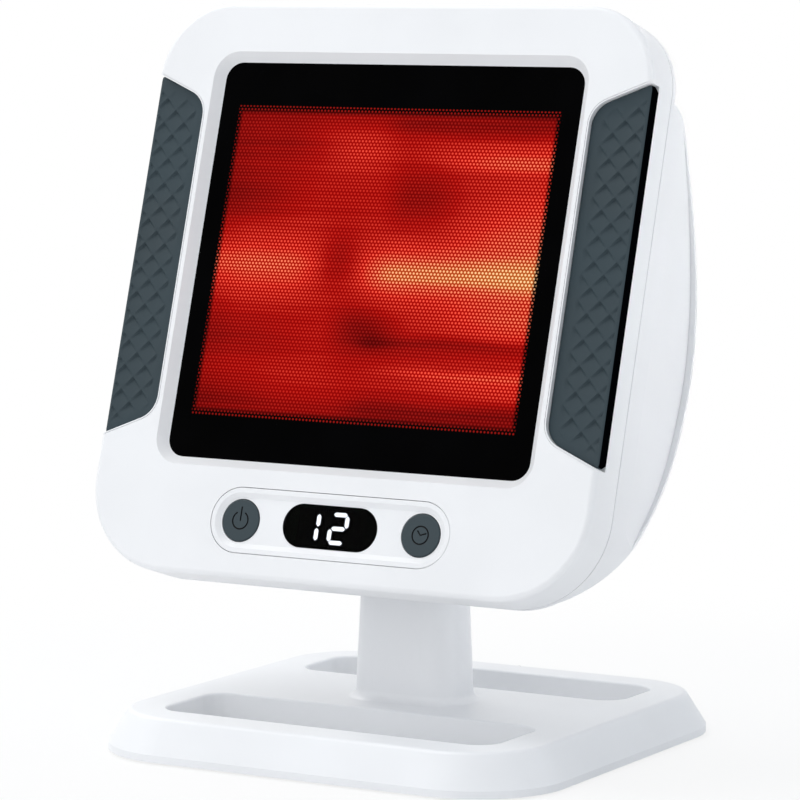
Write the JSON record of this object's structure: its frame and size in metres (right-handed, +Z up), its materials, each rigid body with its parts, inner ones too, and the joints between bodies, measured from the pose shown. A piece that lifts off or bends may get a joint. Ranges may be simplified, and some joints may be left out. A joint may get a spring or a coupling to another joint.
{
  "type": "infrared heat therapy lamp",
  "caption": "Table-top infrared heat lamp: tilting square head with glowing ceramic glass window, side grips, control panel with timer display, on a flat open base.",
  "frame": {"origin": "on the table under the centre of the base", "axes": "+Z up, the glass window faces -Y and leans back, +X is to the viewer's right when facing the window"},
  "size_m": [0.215, 0.1888, 0.2853],
  "materials": {
    "casing_white": "satin",
    "gloss_white": "glossy",
    "grip": "matte",
    "foot_rubber": "matte",
    "ceramic_glass": "glossy",
    "panel_white": "satin",
    "button_slate": "satin",
    "dark_lens": "glossy",
    "led_white": "lit",
    "silicone": "matte",
    "steel": "zinc plated",
    "bright_aluminium": "polished",
    "quartz": "clear ruby",
    "tungsten": "glowing",
    "ceramic_white": "ceramic",
    "black_plastic": "satin",
    "bearing_plastic": "acetal",
    "circuit_board": "satin"
  },
  "bodies": {
    "stand": {"stand_shell": "gloss_white", "neck_post": "gloss_white", "base_plate": "casing_white", "base_feet": "foot_rubber", "base_screws": "steel", "cord_inlet": "black_plastic", "hinge_bush": "bearing_plastic"},
    "head": {"front_cover": "casing_white", "rear_shell": "casing_white", "head_screws": "steel", "left_grip": "grip", "right_grip": "grip", "glass_panel": "ceramic_glass", "glass_seal": "silicone", "glass_clamp": "steel", "clamp_screws": "steel", "lamp_housing": "steel", "reflector": "bright_aluminium", "quartz_tube": "quartz", "filament": "tungsten", "tube_caps": "ceramic_white", "tube_sockets": "ceramic_white", "thermal_cutout": "black_plastic", "chassis_plate": "steel", "chassis_screws": "steel", "hinge_bracket": "steel", "hinge_pin": "steel", "friction_collars": "bearing_plastic", "disc_springs": "steel", "hinge_nut": "steel", "fan_frame": "black_plastic", "fan_screws": "steel", "board_standoffs": "steel", "mains_board": "circuit_board", "board_screws": "steel", "mains_parts": "black_plastic", "control_panel": "panel_white", "display_window": "dark_lens", "display_module": "black_plastic", "display_segments": "led_white", "control_board": "circuit_board", "control_screws": "steel", "tact_switches": "black_plastic", "board_parts": "black_plastic"},
    "fan_rotor": {"fan_rotor": "black_plastic"},
    "timer_button": {"timer_button": "button_slate"},
    "power_button": {"power_button": "button_slate"}
  },
  "joints": [
    {"name": "head_tilt", "type": "hinge", "parent": "stand", "child": "head", "pos_m": [0, 0.0025, 0.1258], "axis": [-1, 0, 0], "range_deg": [-16.6, 13.3]},
    {"name": "fan_spin", "type": "hinge", "parent": "head", "child": "fan_rotor", "pos_m": [0, -0.0018, 0.1749], "axis": [0, -0.958, 0.2869], "continuous": true},
    {"name": "timer_press", "type": "slide", "parent": "head", "child": "timer_button", "axis": [0, 0.958, -0.2869], "range_m": [0, 0.0008], "stiffness_N_per_m": 1500, "springref_m": -0.0005},
    {"name": "power_press", "type": "slide", "parent": "head", "child": "power_button", "axis": [0, 0.958, -0.2869], "range_m": [0, 0.0008], "stiffness_N_per_m": 1500, "springref_m": -0.0005}
  ]
}
